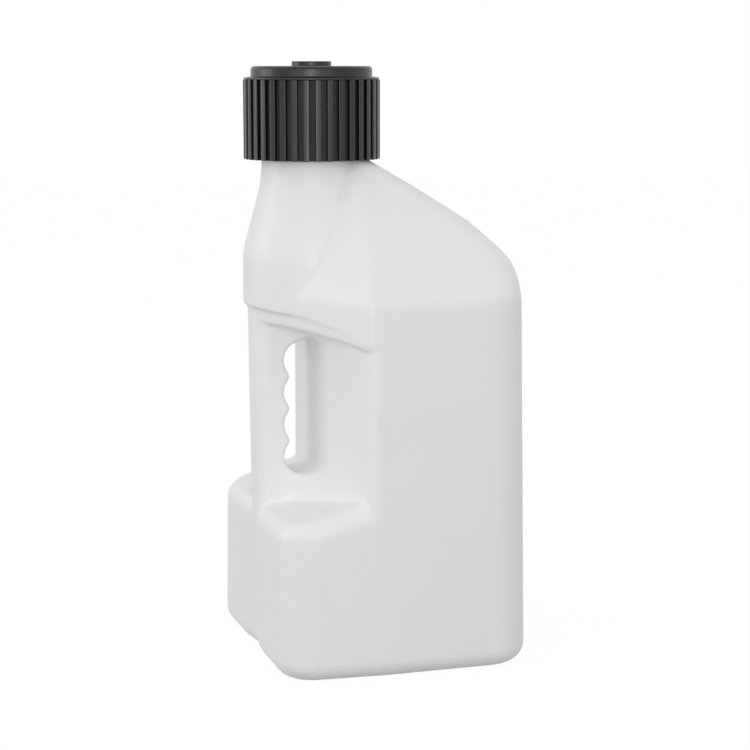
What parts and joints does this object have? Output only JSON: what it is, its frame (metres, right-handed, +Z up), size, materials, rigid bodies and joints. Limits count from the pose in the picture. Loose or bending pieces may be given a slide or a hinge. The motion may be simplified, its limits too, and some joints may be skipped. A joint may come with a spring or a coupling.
{
  "type": "utility jug",
  "caption": "White blow-moulded utility jug with a scooped finger-grip through handle, a sloping shoulder and an offset neck, closed by a black ribbed screw cap.",
  "frame": {"origin": "centre of the jug's outline on the surface it stands on", "axes": "+Z up, -Y to the handle and neck, +X to the right of someone who faces the back of the jug from the handle"},
  "size_m": [0.2066, 0.1892, 0.4336],
  "materials": {
    "jug_plastic": "satin",
    "cap_plastic": "satin",
    "seal_rubber": "matte"
  },
  "bodies": {
    "jug": {"jug_body": "jug_plastic"},
    "seal": {"cap_gasket": "seal_rubber"},
    "cap": {"screw_cap": "cap_plastic"}
  },
  "joints": [
    {"name": "cap_lift", "type": "slide", "parent": "jug", "child": "seal", "axis": [0, 0, 1], "range_m": [0, 0.0201]},
    {"name": "cap_turn", "type": "hinge", "parent": "seal", "child": "cap", "pos_m": [0, -0.0439, 0.392], "axis": [0, 0, 1], "range_deg": [0, 900]}
  ],
  "couplings": [
    {"joint": "cap_lift", "follows": "cap_turn", "m_per_rad": 0.0012732}
  ]
}
